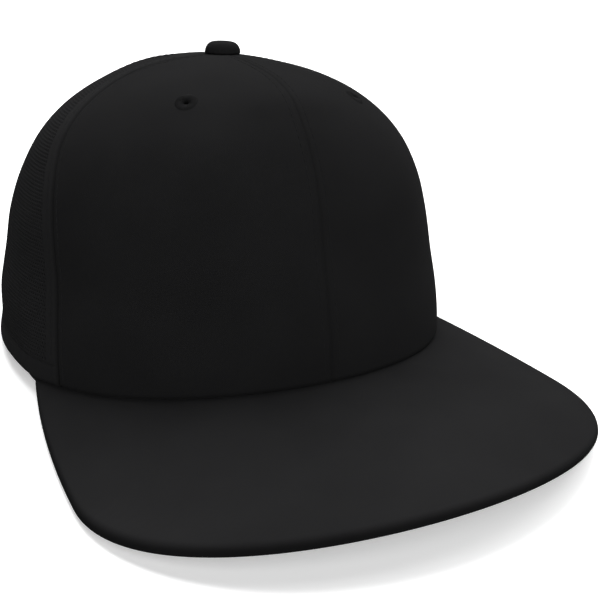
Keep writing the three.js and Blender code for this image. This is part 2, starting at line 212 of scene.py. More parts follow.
# Small parts' details
EYELET_STITCHES = 52
EYELET_STEPS = 6
EYELET_SIDES = 20
EYELET_RIDGE = 0.16
EYELET_RIDGE_RISE = 0.2
EYELET_RIDGE_POWER = 0.7
EDGE_SEAM_DEPTH = 0.2
EDGE_SEAM_TURN = 112
EDGE_SEAM_WIDTH = 9
# Where the painted shade on the bill's rolled edge begins and becomes full, as turns round the edge in
# radians
BILL_FADE_FROM = 0.2
BILL_FADE_TO = 1.6
BUTTON_FULLNESS = 0.52
BUTTON_GATHERS = 18
BUTTON_GATHER_DEPTH = 0.022
BUTTON_GATHER_FROM = -0.2
BUTTON_GATHER_TO = 2.2
BUTTON_UNDER = 35
BUTTON_TOP = 88
BUTTON_GIRTH_AT = 0.5
BUTTON_UNDER_DROP = 1.1
BUTTON_UNDER_FULLNESS = 0.5
STEM_TOP = -0.4
BAND_STITCH = 2.2
BAND_EDGE = 0.6
BAND_DIP = 0.25
BAND_DIP_WIDTH = 0.5
BAND_WAVES = 0.12
BAND_WAVE_RATE = 23
BAND_WAVE_HEIGHT = 6
BAND_PUCKER = 0.1
BAND_PUCKER_RATE = 41
BINDING_STITCHES = (1.7, 4.7)
BINDING_DIP = 0.16
BINDING_DIP_WIDTH = 0.4
BINDING_FOLD = (MESH_WALL + BINDING_PROUD) / 2 + 0.1
BINDING_EDGE = 0.5
BINDING_INSIDE = MESH_WALL + GAP
BINDING_RIPPLE = 0.05
BINDING_RIPPLE_RATE = 260
STITCH_SINK = 0.05
BAND_STITCH_SINK = 0.15
STRAP_EDGE = 0.5
EYE_WALL = 0.6
LAP_DEPTH = STRAP_DEPTH - LAP_THICKNESS
STRAP_MIDDLE = STRAP_BOTTOM + STRAP_HEIGHT / 2
ARCH_LENGTH = math.pi * ARCH_HALF_WIDTH + 2 * ARCH_LEG_TOP

# Ripples of the eyelet's stitches: height, waves round the ring and start
EYELET_RIPPLES = ((0.035, 5, 1), (0.03, 11, 2))

# The stud's outline, as radius and height above the strap
STUD_OUTLINE = (
    (STUD_RADIUS, -1.0),
    (STUD_RADIUS, 0.45),
    (STUD_RADIUS - 0.06, 0.75),
    (STUD_RADIUS - 0.35, 1.05),
    (STUD_RADIUS - 0.9, STUD_HEIGHT),
    (1.35, STUD_HEIGHT - 0.02),
    (1.1, STUD_HEIGHT - 0.25),
    (0.3, 0.85),
)

# Moulded rims round the studs and the spare hole: inner and outer radius, lowest and highest point
STUD_RIM = {"inner": STUD_RADIUS + 0.15, "outer": STUD_RADIUS + 1.15, "low": -0.4, "high": 0.35}
HOLE_RIM = {
    "inner": SPARE_HOLE_RADIUS,
    "outer": SPARE_HOLE_RADIUS + 1.5,
    "low": -LAP_THICKNESS - STRAP_THICKNESS - 0.2,
    "high": 0.35,
}

# Mesh fineness
HEIGHT_STEPS = 2001
NORMAL_STEP = 0.02
GORE_ROWS = 600
GORE_SHARES = 31
WIDTH_EVERY = 5
BILL_PATH = 200
BILL_STATIONS = 240
BILL_COLUMNS = 40
BILL_EDGE_STEPS = 13
BUTTON_SIDES = 96
BUTTON_RINGS = 26
BAND_COLUMNS = 240
ARCH_STEPS = 160
BAND_ROWS = 30
BINDING_ROWS = 16
STRAP_ROWS = 22
STRAP_COLUMNS = 170
LAP_COLUMNS = 100
STUD_SIDES = 40
RIM_SIDES = 48
RIM_STEPS = 10
STITCH_PATH = 400
HEM_PATH = 300
BAND_PATH = 900

# Floor and light
FLOOR_TONE = 0.9
FLOOR_BOUNCE = 0.3
FLOOR_GLOW = 0.35
FLOOR_RADIUS = 12.0
FLOOR_SIDES = 64
WORLD_STRENGTH = 0.01

# Soft lights: where each stands round the cap and above it, its strength and how wide it looks
LIGHTS = {
    "front_light": {"azimuth": -20, "elevation": 25, "strength": 2.59, "spread": 80},
    "side_light": {"azimuth": 100, "elevation": 60, "strength": 1.32, "spread": 40},
    "back_light": {"azimuth": 165, "elevation": 60, "strength": 3.78, "spread": 40},
}

# Camera, from the photo: its place round the cap and its aim, in degrees and millimetres
VIEW_TARGET = (0.0, -30.0, 55.0)
VIEW_AZIMUTH = -27.163
VIEW_ELEVATION = 13.242
VIEW_DISTANCE = 350.0
VIEW_PAN = -2.893
VIEW_TILT = -6.654
VIEW_ROLL = -1.507
FOCAL_PIXELS = 876.49
IMAGE_PIXELS = 600
SENSOR_MM = 36.0
CLIP_START = 0.01


# Curves

def smoothstep(x, low, high):
    t = np.clip((np.asarray(x, float) - low) / (high - low), 0, 1)
    return t * t * (3 - 2 * t)


def hump(x, middle, width):
    """A smooth hump of height 1."""
    return np.exp(-(((x - middle) / width) ** 2))


def lerp(a, b, t):
    return a + (b - a) * t


def spline(values, t):
    """Uniform Catmull-Rom curve through values, at t steps from the first."""
    values = np.asarray(values, float)
    last = len(values) - 1
    i = np.clip(np.floor(t).astype(int), 0, last)
    w = t - i
    p0 = values[np.maximum(i - 1, 0)]
    p1 = values[i]
    p2 = values[np.minimum(i + 1, last)]
    p3 = values[np.minimum(i + 2, last)]
    v0 = (p2 - p0) / 2
    v1 = (p3 - p1) / 2
    cubic = 2 * p1 - 2 * p2 + v0 + v1
    square = -3 * p1 + 3 * p2 - 2 * v0 - v1
    return cubic * w**3 + square * w**2 + v0 * w + p1


def walked_way(path):
    """The way walked along a line of points, at each of them."""
    return np.append(0, np.cumsum(np.linalg.norm(np.diff(path, axis=0), axis=1)))


def at_ways(ways, walked, values):
    """The columns of values at some ways walked along them."""
    return np.stack([np.interp(ways, walked, column) for column in values.T], -1)


def unit(vectors):
    return vectors / np.linalg.norm(vectors, axis=-1, keepdims=True)


def full_turn(count):
    """Even angles once round."""
    return 2 * math.pi * np.arange(count) / count


def on_circle(turn):
    return np.stack([np.cos(turn), np.sin(turn)], -1)


# Crown surface

def section_values(column):
    k = SECTION_COLUMNS.index(column)
    mirror = SECTIONS[APEX_ROW - 1, k] * (1 if column == "height" else -1)
    return np.append(SECTIONS[:, k], mirror)


COLUMN_VALUES = {column: section_values(column) for column in SECTION_COLUMNS}
FINE_ROWS = np.linspace(0, APEX_ROW, HEIGHT_STEPS)
FINE_HEIGHTS = CROWN_HEIGHT * spline(COLUMN_VALUES["height"], FINE_ROWS)


def row_at_height(z):
    return np.interp(z, FINE_HEIGHTS, FINE_ROWS)


def hem_tuck(angle, z):
    degrees = np.degrees(np.abs(angle))
    start = smoothstep(degrees, BILL_CORNER_ANGLE, RIM_LEVEL_ANGLE)
    end = 1 - smoothstep(degrees, HEM_FADE_ANGLE, HEM_END_ANGLE)
    above = 1 - smoothstep(z, HEM_LINE, HEM_TUCK_TOP)
    below = lerp(HEM_EDGE_SHARE, 1, smoothstep(z, RIM_HEIGHT, HEM_LINE))
    return HEM_TUCK * start * end * above * below


def crown_point(angle, row):
    angle, row = np.broadcast_arrays(np.asarray(angle, float), np.asarray(row, float))
    at = {column: spline(COLUMN_VALUES[column], row) for column in SECTION_COLUMNS}
    reach = np.where(np.cos(angle) > 0, FRONT_REACH * at["front"], BACK_REACH * at["back"])
    z = CROWN_HEIGHT * at["height"]
    tuck = 1 - hem_tuck(angle, z) / HALF_WIDTH
    x = HALF_WIDTH * at["side"] * np.sin(angle) * tuck
    y = -reach * np.cos(angle) * tuck + TOP_LEAN * at["height"]
    return np.stack([x, y, z], -1)


def crown_normal(angle, row):
    across = crown_point(angle + NORMAL_STEP, row) - crown_point(angle - NORMAL_STEP, row)
    up = crown_point(angle, row + NORMAL_STEP) - crown_point(angle, row - NORMAL_STEP)
    return unit(np.cross(across, up))


def wall_point(angle, row, depth):
    return crown_point(angle, row) - crown_normal(angle, row) * np.asarray(depth)[..., None]


def seam_angle(seam, row):
    steps = len(SEAM_ANGLES[seam]) - 1
    share = np.maximum(np.asarray(row, float) - BASE_ROW, 0) / (APEX_ROW - BASE_ROW)
    return np.radians(spline(SEAM_ANGLES[seam], np.minimum(share * steps, steps)))


def bill_top(x, y):
    return BILL_SLOPE * (y + FRONT_REACH) - BILL_ARCH * (x / BILL_ARCH_AT) ** 2


def table_height(y):
    return REST_HEIGHT + (y - REST_CORNER) * math.tan(math.radians(REST_PITCH))


def rim_height(angle, x, y):
    degrees = np.degrees(np.abs(angle))
    past_bill = smoothstep(degrees, BILL_CORNER_ANGLE, RIM_LEVEL_ANGLE)
    on_table = smoothstep(degrees, TABLE_START_ANGLE, TABLE_ANGLE)
    level = lerp(bill_top(x, y) + GAP, RIM_HEIGHT, past_bill)
    return lerp(level, table_height(y), on_table)


def back_angle(x, z):
    row = row_at_height(z)
    reach = HALF_WIDTH * spline(COLUMN_VALUES["side"], row)
    return math.pi - np.arcsin(np.clip(x / reach, -1, 1)), row


def back_point(x, z, depth):
    angle, row = back_angle(np.asarray(x, float), np.asarray(z, float))
    return wall_point(angle, row, depth)


# Turning the cap to where it stands

PITCH = math.radians(-REST_PITCH)
TURN = np.array([
    (1, 0, 0),
    (0, math.cos(PITCH), -math.sin(PITCH)),
    (0, math.sin(PITCH), math.cos(PITCH)),
])


def bill_outline():
    """Half of the bill's outline, from the middle of its front edge to its corner on the crown."""
    turn = np.linspace(0, math.pi / 2, BILL_PATH)
    s, c = np.sin(turn), np.cos(turn)
    scale = (s**BILL_SQUARENESS + c**BILL_SQUARENESS) ** (-1 / BILL_SQUARENESS)
    depth = (BILL_TIP - BILL_WIDEST) * c * scale
    front = np.stack([BILL_HALF_WIDTH * s * scale, -BILL_WIDEST - depth], -1)
    corner = crown_point(math.radians(BILL_CORNER_ANGLE), BASE_ROW)
    share = np.linspace(0, 1, BILL_PATH)[1:]
    x, y = lerp(BILL_HALF_WIDTH, corner[0], share**2), lerp(-BILL_WIDEST, corner[1], share)
    path = np.vstack([front, np.stack([x, y], -1)])
    walked = walked_way(path)
    return path, walked / walked[-1]


def find_shift():
    """How far the turned cap is moved, from where the frame has the bill's tip and lowest edge."""
    path, _ = bill_outline()
    low = bill_top(path[:, 0], path[:, 1]) - BILL_THICKNESS
    inset = BILL_THICKNESS / 2
    turned_tip = TURN @ np.array([0, -BILL_TIP, bill_top(0, -BILL_TIP) - inset])
    edge = np.stack([path[:, 0] - inset * np.sign(path[:, 0]), path[:, 1], low], -1)
    turned_low = (edge @ TURN.T)[:, 2].min()
    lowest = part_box("bill")[0]
    return np.array([0, lowest[1] / MM - turned_tip[1], lowest[2] / MM - turned_low])


SHIFT = find_shift()


def to_rest(points):
    return (np.asarray(points, float) @ TURN.T + SHIFT) * MM


# Making pieces

def thick_sheet(outer, inner, uv, mask=None):
    """A closed sheet between two grids of points. mask says which of the grid's faces are kept."""
    rows, cols = outer.shape[:2]
    if mask is None:
        mask = np.ones((rows - 1, cols - 1), bool)
    layer = rows * cols
    index = np.arange(layer).reshape(rows, cols)
    a, b, c, d = index[:-1, :-1], index[:-1, 1:], index[1:, 1:], index[1:, :-1]
    front = np.stack([a, b, c, d], -1)[mask]
    faces = [front, front[:, ::-1] + layer]
    around = np.pad(mask, 1)
    sides = (
        (a, b, around[:-2, 1:-1]),
        (b, c, around[1:-1, 2:]),
        (c, d, around[2:, 1:-1]),
        (d, a, around[1:-1, :-2]),
    )
    for start, end, neighbour in sides:
        edge = mask & ~neighbour
        p, q = start[edge], end[edge]
        faces.append(np.stack([q, p, p + layer, q + layer], -1))
    points = np.concatenate([outer.reshape(-1, 3), inner.reshape(-1, 3)])
    uvs = np.concatenate([uv.reshape(-1, uv.shape[-1])] * 2)
    faces = np.concatenate(faces)
    used, renumbered = np.unique(faces, return_inverse=True)
    return outward(points[used], renumbered.reshape(faces.shape), uvs[used])


def outward(points, faces, uvs):
    """The part with its faces turned outward."""
    a, b, c, d = (points[faces[:, k]] for k in range(4))
    volume = np.einsum("ij,ij->i", np.cross(a, c), d - b).sum()
    return points, faces if volume > 0 else faces[:, ::-1], uvs


def cap_faces(ring):
    """Faces that close a ring of an even number of points."""
    ring = np.asarray(ring)
    i = np.arange(len(ring) // 2 - 1)
    return np.stack([ring[i], ring[i + 1], ring[-2 - i], ring[-1 - i]], -1)


def closed_tube(rings, uvs):
    """A closed body from rings of points, (ring, point, axis), with both ends closed."""
    count, sides = rings.shape[:2]
    index = np.arange(count * sides).reshape(count, sides)
    a, b = index, np.roll(index, -1, 1)
    faces = np.stack([a[:-1], b[:-1], b[1:], a[1:]], -1).reshape(-1, 4)
    faces = np.concatenate([faces, cap_faces(index[0][::-1]), cap_faces(index[-1])])
    return outward(rings.reshape(-1, 3), faces, uvs.reshape(-1, uvs.shape[-1]))


def closed_ring(rings):
    """A body from sections of points that close on each other, (section, point, axis)."""
    index = np.arange(rings.shape[0] * rings.shape[1]).reshape(rings.shape[:2])
    ahead = np.roll(index, -1, 0)
    faces = np.stack([index, ahead, np.roll(ahead, -1, 1), np.roll(index, -1, 1)], -1).reshape(-1, 4)
    return outward(rings.reshape(-1, 3), faces, rings[..., :2].reshape(-1, 2))


def joined(parts):
    """Several (points, faces, uvs) as one."""
    sizes = [len(points) for points, _, _ in parts]
    starts = np.cumsum([0] + sizes[:-1])
    points = np.concatenate([part[0] for part in parts])
    faces = np.concatenate([part[1] + start for part, start in zip(parts, starts)])
    return points, faces, np.concatenate([part[2] for part in parts])


def add_object(name, data):
    item = bpy.data.objects.new(name, data)
    bpy.context.scene.collection.objects.link(item)
    return item


def add_placed(name, data, axes, place=(0, 0, 0)):
    """An object with its three axes and its place in the shared frame."""
    matrix = np.eye(4)
    matrix[:3, :3] = axes
    matrix[:3, 3] = place
    item = add_object(name, data)
    item.matrix_world = Matrix(matrix.tolist())
    return item


def make_piece(name, parts, material, replaced=(), sharp=50):
    """A mesh object from (points, faces, uvs) parts in the cap's frame, riding on the cap's body.

    A third column of uvs gives each point's share of painted shade, from 0 to 1: in the seams' creases and
    on the bill's rolled edge and underside.
    """
    points, faces, uvs = joined(parts)
    mesh = bpy.data.meshes.new(name)
    mesh.from_pydata(to_rest(points).tolist(), [], faces.tolist())
    layer = mesh.uv_layers.new(name="cloth")
    corner = np.empty(len(mesh.loops), np.int32)
    mesh.loops.foreach_get("vertex_index", corner)
    layer.data.foreach_set("uv", uvs[corner, :2].astype(np.float32).ravel())
    mesh.polygons.foreach_set("use_smooth", np.ones(len(mesh.polygons), bool))
    mesh.set_sharp_from_angle(angle=math.radians(sharp))
    mesh.materials.append(material)
    # The share of painted shade becomes an attribute that the cloth materials read
    if uvs.shape[1] > 2:
        painted_shade_share = uvs[:, 2].astype(np.float32)
        mesh.attributes.new("painted_shade_share", "FLOAT", "POINT").data.foreach_set("value", painted_shade_share)
    mesh.update()
    piece = add_object(name, mesh)
    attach(piece, "root")
    if replaced:
        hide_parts(*replaced)


def stitch_row(path, normals):
    """Short threads along a line of points. Each one rises out of the cloth and goes back in."""
    walked = walked_way(path)
    count = int((walked[-1] - STITCH_LENGTH) / STITCH_PITCH)
    spare = walked[-1] - count * STITCH_PITCH
    centres = STITCH_PITCH * (np.arange(count) + 0.5) + spare / 2
    along, rise, girth = (STITCH_FORM * (STITCH_LENGTH, STITCH_LIFT, STITCH_RADIUS)).T
    at = centres[:, None] + along
    spot = at_ways(at, walked, path)
    up = unit(at_ways(at, walked, normals))
    ahead = unit(spot[:, -1:] - spot[:, :1])
    beside = np.cross(ahead, up)
    spot = spot + up * rise[:, None]
    ring = on_circle(full_turn(STITCH_SIDES)) @ np.stack([up, beside], -2)
    rings = spot[:, :, None] + ring * girth[:, None, None]
    flat = np.zeros(rings.shape[1:3] + (2,))
    return [closed_tube(stitch, flat) for stitch in rings]


# Materials

SHADE_ENDS = (0.3, 0.7)
BLUE_SHARE = 1.03
SHEEN = {"Sheen Weight": 0.01, "Sheen Roughness": 0.45, "Sheen Tint": (0.6, 0.6, 0.62, 1)}

# The weave's relief: how fast and high its yarns and fibres run beside its ribs, and its depth
YARN_RATE = 1.9
YARN_SHARE = 0.45
FIBRE_SCALE = 3.5
FIBRE_SHARE = 1.4
WEAVE_DEPTH = 0.00012

# The weave's tint: the uneven dye, and painted light and shade on the ribs, lighter where they rise and
# darker between them
DYE_SCALE = 28
DYE_SHARE = 0.86
RIB_LIGHT_AND_SHADE = 0.07
MOTTLE = 0.12

# Thread and plastic: the scales of their fibres, grain and rubbing, their relief and their tones
THREAD_FIBRES = 2600
THREAD_RELIEF = 0.4
THREAD_DEPTH = 0.00008
THREAD_MOTTLE = (0.8, 1.25)
GRAIN_SCALE = 1500
GRAIN_RELIEF = 0.12
GRAIN_DEPTH = 0.00005
RUBBING_SCALE = 60
RUBBED_ROUGHNESS = (0.32, 0.55)
PLASTIC_MOTTLE = (0.85, 1.2)

# Tones of the blacks, and the painted shade: how much darker the seams' creases and the bill's rolled edge
# and underside are painted
CROWN_TONE = 0.0102
BILL_TONE = 0.0124
MESH_TONE = 0.0128
TAPE_TONE = CROWN_TONE * 0.95
SEWING_TONE = CROWN_TONE * 1.22
EYELET_TONE = CROWN_TONE * 1.12
PLASTIC_TONE = 0.011
CREASE_PAINTED_SHADE = 0.7
BILL_EDGE_PAINTED_SHADE = 0.6


def new_material(name, values):
    """A material with its shader's plain values set, its shader, nodes and links."""
    material = bpy.data.materials.new(name)
    material.use_nodes = True
    nodes = material.node_tree.nodes
    shader = nodes["Principled BSDF"]
    set_inputs(shader, values)
    return material, shader, nodes, material.node_tree.links


def set_inputs(node, values):
    for socket, value in values.items():
        node.inputs[socket].default_value = value


def math_node(nodes, links, operation, first, second=None):
    node = nodes.new("ShaderNodeMath")
    node.operation = operation
    for socket, value in zip(node.inputs, (first, second)):
        if value is None:
            continue
        if isinstance(value, (int, float)):
            socket.default_value = value
        else:
            links.new(value, socket)
    return node.outputs[0]


def noise_node(nodes, links, vector, scale, detail):
    noise = nodes.new("ShaderNodeTexNoise")
    set_inputs(noise, {"Scale": scale, "Detail": detail})
    links.new(vector, noise.inputs["Vector"])
    return noise.outputs["Fac"]


def span(nodes, links, value, low, high):
    """A value that runs from low to high while another runs from 0 to 1."""
    node = nodes.new("ShaderNodeMapRange")
    set_inputs(node, {"To Min": low, "To Max": high})
    links.new(value, node.inputs["Value"])
    return node.outputs["Result"]


def add_bump(nodes, links, shader, height, strength, distance):
    bump = nodes.new("ShaderNodeBump")
    set_inputs(bump, {"Strength": strength, "Distance": distance})
    links.new(height, bump.inputs["Height"])
    links.new(bump.outputs["Normal"], shader.inputs["Normal"])


def shade(nodes, links, factor, dark, light):
    """A black that runs from a dark to a light tone with a factor."""
    ramp = nodes.new("ShaderNodeValToRGB")
    for element, place, tone in zip(ramp.color_ramp.elements, SHADE_ENDS, (dark, light)):
        element.position = place
        element.color = (tone, tone, tone * BLUE_SHARE, 1)
    links.new(factor, ramp.inputs["Fac"])
    return ramp.outputs["Color"]


def cloth(name, tone, weave, relief, roughness=0.92, gloss=0.015, slant=1.0, painted_shade=1.0):
    """Woven cloth: slanted ribs crossed by yarns, with uneven dye, fine fibres, painted light and shade on
    the ribs, and painted shade where a point's share of it is set.
    """
    values = {"Roughness": roughness, "Specular IOR Level": gloss, **SHEEN}
    material, shader, nodes, links = new_material(name, values)

    def maths(operation, first, second=None):
        return math_node(nodes, links, operation, first, second)

    flat = nodes.new("ShaderNodeUVMap")
    flat.uv_map = "cloth"
    place = nodes.new("ShaderNodeTexCoord")
    parts = nodes.new("ShaderNodeSeparateXYZ")
    links.new(flat.outputs["UV"], parts.inputs["Vector"])
    u, v = parts.outputs["X"], parts.outputs["Y"]
    turn = 2 * math.pi / weave
    ribs = maths("SINE", maths("MULTIPLY", maths("ADD", u, maths("MULTIPLY", v, slant)), turn))
    yarns = maths("SINE", maths("MULTIPLY", v, turn * YARN_RATE))
    fibres = noise_node(nodes, links, flat.outputs["UV"], FIBRE_SCALE, detail=3)
    woven = maths("ADD", ribs, maths("MULTIPLY", yarns, YARN_SHARE))
    height = maths("ADD", woven, maths("MULTIPLY", fibres, FIBRE_SHARE))
    add_bump(nodes, links, shader, height, relief, WEAVE_DEPTH)
    dye = noise_node(nodes, links, place.outputs["Object"], DYE_SCALE, detail=4)
    # Painted light and shade on the ribs: lighter where the ribs rise, darker between them
    grain_and_rib_shade = maths("MULTIPLY", maths("ADD", ribs, 1.0), RIB_LIGHT_AND_SHADE)
    tint = maths("ADD", maths("MULTIPLY", dye, DYE_SHARE), grain_and_rib_shade)
    colour = shade(nodes, links, tint, tone * (1 - MOTTLE), tone * (1 + MOTTLE))
    # Painted shade in the seams' creases and on the bill's rolled edge and underside: the tone darkens as
    # the point's share of painted shade grows
    if painted_shade != 1:
        painted_shade_share = nodes.new("ShaderNodeAttribute")
        painted_shade_share.attribute_name = "painted_shade_share"
        darker = nodes.new("ShaderNodeVectorMath")
        darker.operation = "SCALE"
        links.new(colour, darker.inputs[0])
        links.new(span(nodes, links, painted_shade_share.outputs["Fac"], 1.0, painted_shade), darker.inputs["Scale"])
        colour = darker.outputs["Vector"]
    links.new(colour, shader.inputs["Base Color"])
    return material


def thread_material(name, tone):
    """Twisted thread with a low sheen."""
    values = {"Roughness": 0.85, "Specular IOR Level": 0.03}
    material, shader, nodes, links = new_material(name, values)
    place = nodes.new("ShaderNodeTexCoord")
    fibres = noise_node(nodes, links, place.outputs["Object"], THREAD_FIBRES, detail=2)
    add_bump(nodes, links, shader, fibres, THREAD_RELIEF, THREAD_DEPTH)
    colour = shade(nodes, links, fibres, *(tone * share for share in THREAD_MOTTLE))
    links.new(colour, shader.inputs["Base Color"])
    return material


def plastic_material(name, tone):
    """Moulded plastic with a fine satin-grained surface and light rubbing."""
    material, shader, nodes, links = new_material(name, {"Specular IOR Level": 0.3})
    place = nodes.new("ShaderNodeTexCoord")
    grain_and_rib_shade = noise_node(nodes, links, place.outputs["Object"], GRAIN_SCALE, detail=3)
    rubbing = noise_node(nodes, links, place.outputs["Object"], RUBBING_SCALE, detail=4)
    add_bump(nodes, links, shader, grain_and_rib_shade, GRAIN_RELIEF, GRAIN_DEPTH)
    links.new(span(nodes, links, rubbing, *RUBBED_ROUGHNESS), shader.inputs["Roughness"])
    colour = shade(nodes, links, rubbing, *(tone * share for share in PLASTIC_MOTTLE))
    links.new(colour, shader.inputs["Base Color"])
    return material


# The crown and mesh cloths get painted shade in their seams' creases, the bill's cloth on its rolled edge
# and underside
front_cloth = cloth("crown_cloth", CROWN_TONE, weave=0.62, relief=0.3, painted_shade=CREASE_PAINTED_SHADE)
bill_cloth = cloth("bill_cloth", BILL_TONE, weave=0.62, relief=0.3, gloss=0.004, painted_shade=BILL_EDGE_PAINTED_SHADE)
mesh_cloth = cloth("mesh_cloth", MESH_TONE, weave=0.5, relief=0.25, painted_shade=CREASE_PAINTED_SHADE)
band_cloth = cloth("band_cloth", CROWN_TONE, weave=0.8, relief=0.45, slant=-1.0)
tape_cloth = cloth("binding_tape", TAPE_TONE, weave=0.9, relief=0.5, slant=0.0)
sewing_thread = thread_material("sewing_thread", SEWING_TONE)
eyelet_thread = thread_material("eyelet_thread", EYELET_TONE)
strap_plastic = plastic_material("strap_plastic", PLASTIC_TONE)


# Crown panels

def unevenness(points):
    """Slow, slight waves of soft cloth, in millimetres along the wall's normal."""
    waves = sum(
        share * np.sin((points / lengths).sum(-1) + start)
        for *lengths, start, share in CLOTH_WAVES
    )
    return SOFT_WAVES * waves / sum(wave[-1] for wave in CLOTH_WAVES)


class Gore:
    """A panel between two seams. Places on it are a share across and a way up its middle line."""

    def __init__(self, seam_from, seam_to, hand):
        self.seams = (seam_from, seam_to)
        self.hand = hand
        rows = np.linspace(self.bottom_row(0.5), TOP_ROW, GORE_ROWS)
        line = crown_point(self.turn(0.5, rows), rows)
        self.rows = rows
        self.way = walked_way(line)
        self.length = self.way[-1]
        share = np.linspace(0, 1, GORE_SHARES)[None, :]
        sparse = rows[::WIDTH_EVERY, None]
        grid = crown_point(self.turn(share, sparse), sparse)
        self.width_ways = self.way[::WIDTH_EVERY]
        self.widths = np.linalg.norm(np.diff(grid, axis=1), axis=2).sum(1)

    def turn(self, share, row):
        start, end = (seam_angle(seam, row) for seam in self.seams)
        return self.hand * lerp(start, end, share)

    def bottom_row(self, share):
        angle = self.turn(share, BASE_ROW)
        base = crown_point(angle, BASE_ROW)
        return row_at_height(rim_height(angle, base[..., 0], base[..., 1]))

    def width(self, way):
        return np.interp(way, self.width_ways, self.widths)

    def place(self, share, way):
        """The angle and row at a share across and a way up in millimetres."""
        fade = 1 - np.clip(way / self.length, 0, 1)
        row = np.interp(way, self.way, self.rows) + (self.bottom_row(share) - self.bottom_row(0.5)) * fade
        return self.turn(share, row), row


EDGE_COLUMNS = (0, 0.3, 0.6, 0.95, 1.35, 1.8, 2.3, 2.65, 3.0, 3.35, 3.8, 4.6, 5.3, MESH_BORDER)
RIM_WAYS = (0, 0.3, 0.7, 1.2, 2.0, 3.2, 4.6, 6.0, 7.0, 7.6, 8.0, 8.4, 9.0, 10.0, 11.5)
MIDDLE_COLUMNS = 44
UPPER_ROWS = 78


def panel_grid(gore):
    """Shares across and ways up of a fine grid that is finest along the seams and the rim."""
    ways = np.concatenate([RIM_WAYS, np.linspace(RIM_WAYS[-1], gore.length, UPPER_ROWS + 1)[1:]])
    width = gore.width(ways)[:, None]
    edge = np.array(EDGE_COLUMNS)[None, :] * np.minimum(1, width / EDGE_NARROW)
    inset = edge[:, -1:]
    middle = inset + (width - 2 * inset) * np.linspace(0, 1, MIDDLE_COLUMNS + 1)[None, 1:-1]
    across = np.concatenate([edge, middle, width - edge[:, ::-1]], axis=1)
    up = np.repeat(ways[:, None], across.shape[1], 1)
    return across / width, up, np.minimum(across, width - across), np.repeat(width, across.shape[1], 1)


def seam_relief(seams, share, from_edge, width):
    """The roll of the cloth into a seam with the dip under its top stitches, and each point's share of
    painted shade in the seam's crease.
    """
    small = np.clip(width / NARROW_WIDTH, NARROW_SHARE, 1)
    first = share < 0.5
    depth = np.where(first, SEAM_DEPTHS[seams[0]], SEAM_DEPTHS[seams[1]])
    reach = np.where(first, SEAM_WIDTHS[seams[0]], SEAM_WIDTHS[seams[1]])
    valley = -depth * hump(from_edge, 0, reach)
    puff = SEAM_PUFF * hump(from_edge, SEAM_PUFF_AT, SEAM_PUFF_WIDTH)
    dip = -STITCH_DIP * hump(from_edge, TOPSTITCH, STITCH_DIP_WIDTH)
    return (valley + puff + dip) * small, depth * hump(from_edge, 0, CREASE_WIDTH) * small


def arch_distance(points):
    """How far a point lies outside the arch's opening, seen from the back."""
    x, z = points[..., 0], points[..., 2]
    beside = np.abs(x) - ARCH_HALF_WIDTH
    above = np.hypot(x, z - ARCH_LEG_TOP) - ARCH_HALF_WIDTH
    away = np.where(z < ARCH_LEG_TOP, beside, above)
    return np.where(points[..., 1] > 0, away, math.inf)


def centres(grid):
    return (grid[:-1, :-1] + grid[1:, :-1] + grid[:-1, 1:] + grid[1:, 1:]) / 4


def cloth_panel(gore, wall, hem):
    """Grids of a panel's outer and inner points, flat places with each point's share of painted shade in
    the seams' creases, ways from its edges and widths.
    """
    share, way, from_edge, width = panel_grid(gore)
    angle, row = gore.place(share, way)
    height, crease = seam_relief(gore.seams, share, from_edge, width)
    height += unevenness(crown_point(angle, row)) * smoothstep(from_edge, 0, SOFT_EDGE)
    height -= RIM_ROLL * hump(way, 0, RIM_ROLL)
    if hem:
        height -= HEM_DIP * hump(way, HEM_STITCH, HEM_DIP_WIDTH)
        fall = smoothstep(way, HEM_STITCH, HEM_STITCH + HEM_BULGE_FALL)
        height += HEM_BULGE * smoothstep(way, 0, HEM_BULGE_RISE) * (1 - fall)
    outer = wall_point(angle, row, -height)
    inner = wall_point(angle, row, wall)
    # The third column is each point's share of painted shade, greatest in the seam's crease
    flat = np.stack([(share - 0.5) * width, way, crease], -1)
    return outer, inner, flat, from_edge, way, width


def frame_at(centre, out):
    """A place with its directions beside, along and out of the cloth."""
    beside = unit(np.cross((0, 0, 1), out))
    return centre, beside, np.cross(out, beside), out


def eyelet_frame(hand):
    angle = hand * math.radians(EYELET_ANGLE)
    centre = wall_point(angle, EYELET_ROW, np.array(CLOTH_WALL / 2))
    return frame_at(centre, crown_normal(angle, EYELET_ROW))


def front_panel(side, hand, gore):
    outer, inner, flat, *_ = cloth_panel(gore, CLOTH_WALL, hem=False)
    centre, *_ = eyelet_frame(hand)
    reach = np.linalg.norm(centres(outer) - centre, axis=-1)
    sheet = thick_sheet(outer, inner, flat, reach > (EYELET_RADIUS + EYELET_HOLE) / 2)
    make_piece(f"front_panel_{side}_cloth", [sheet], front_cloth, [f"front_panel_{side}"])


def edge_walls(faces, layer):
    """Walls from the open edges of a layer of faces down to the like edges of the layer below it."""
    start, end = faces.ravel(), np.roll(faces, -1, 1).ravel()
    forward = start * layer + end
    open_edge = ~np.isin(forward, end * layer + start) & (start < layer) & (end < layer)
    p, q = start[open_edge], end[open_edge]
    return np.stack([q, p, p + layer, q + layer], -1)


